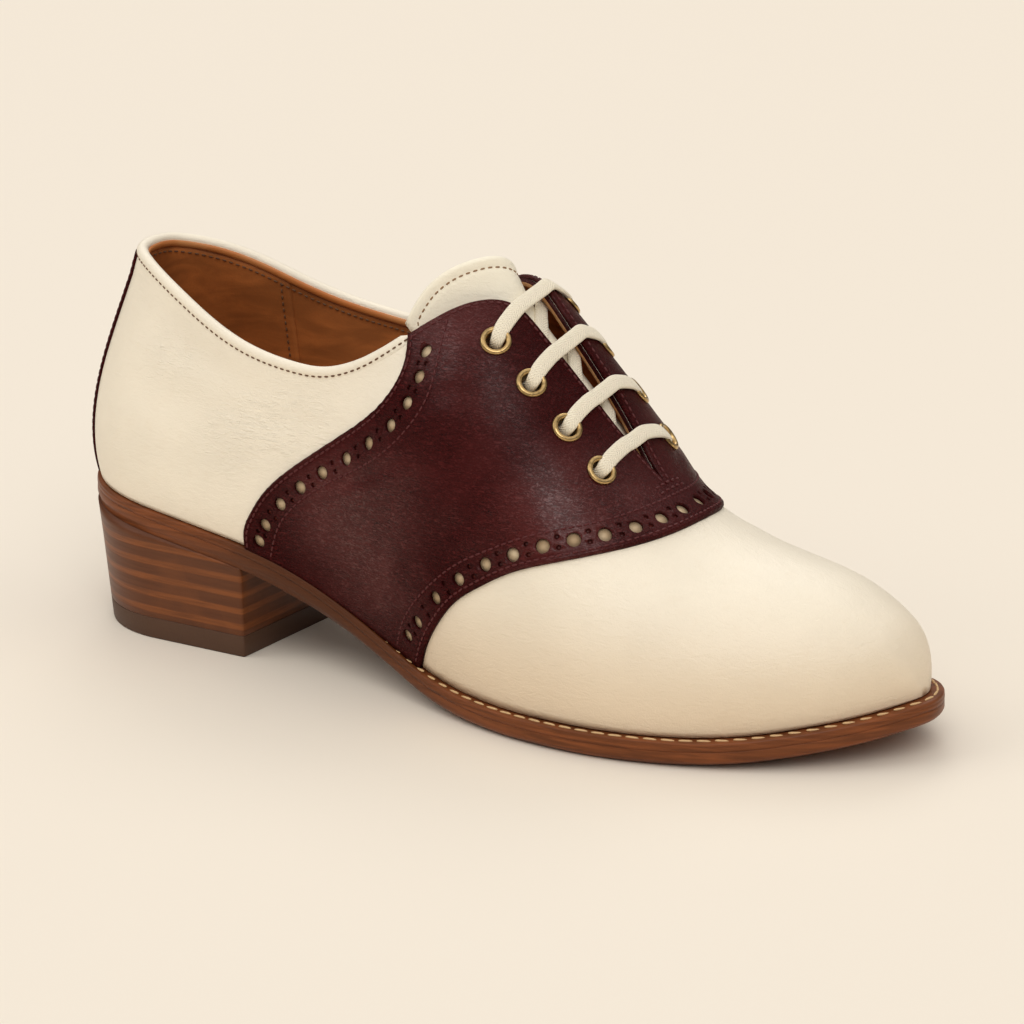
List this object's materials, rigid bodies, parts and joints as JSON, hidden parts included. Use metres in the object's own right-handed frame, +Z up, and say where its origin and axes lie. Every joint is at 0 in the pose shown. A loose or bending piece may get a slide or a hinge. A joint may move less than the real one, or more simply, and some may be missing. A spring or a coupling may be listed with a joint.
{
  "type": "saddle shoe",
  "caption": "Lace-up saddle shoe for the right foot: pale leather upper with a dark saddle over the instep, rounded tongue, thin leather sole and a stacked block heel",
  "frame": {"origin": "On the floor under the heel, on the flat underside of the heel's top piece", "axes": "+X forward from heel to toe, +Y to the inner side of the foot, +Z up"},
  "size_m": [0.2554, 0.0856, 0.1162],
  "materials": {
    "cream_leather": "smooth, light sheen, soft creases",
    "burgundy_leather": "smooth and polished",
    "tan_leather": "plain lining leather",
    "sole_leather": "dressed sole leather, waxed edge",
    "heel_leather": "stacked leather, waxed",
    "top_piece_rubber": "dull",
    "aged_brass": "aged, worn",
    "lace_cotton": "flat woven lace"
  },
  "bodies": {
    "root": {"upper": "cream_leather", "saddle": "burgundy_leather", "backstay": "burgundy_leather", "collar_binding": "cream_leather", "tongue": "cream_leather", "insole": "tan_leather", "welt": "sole_leather", "outsole": "sole_leather", "top_piece": "top_piece_rubber", "heel_lift_1": "heel_leather", "heel_lift_2": "heel_leather", "heel_lift_3": "heel_leather", "heel_lift_4": "heel_leather", "heel_wedge": "heel_leather", "eyelet_outer_1": "aged_brass", "eyelet_outer_2": "aged_brass", "eyelet_outer_3": "aged_brass", "eyelet_outer_4": "aged_brass", "eyelet_inner_1": "aged_brass", "eyelet_inner_2": "aged_brass", "eyelet_inner_3": "aged_brass", "eyelet_inner_4": "aged_brass", "lace_bar_1": "lace_cotton", "lace_bar_2": "lace_cotton", "lace_bar_3": "lace_cotton", "lace_bar_4": "lace_cotton"}
  },
  "joints": []
}
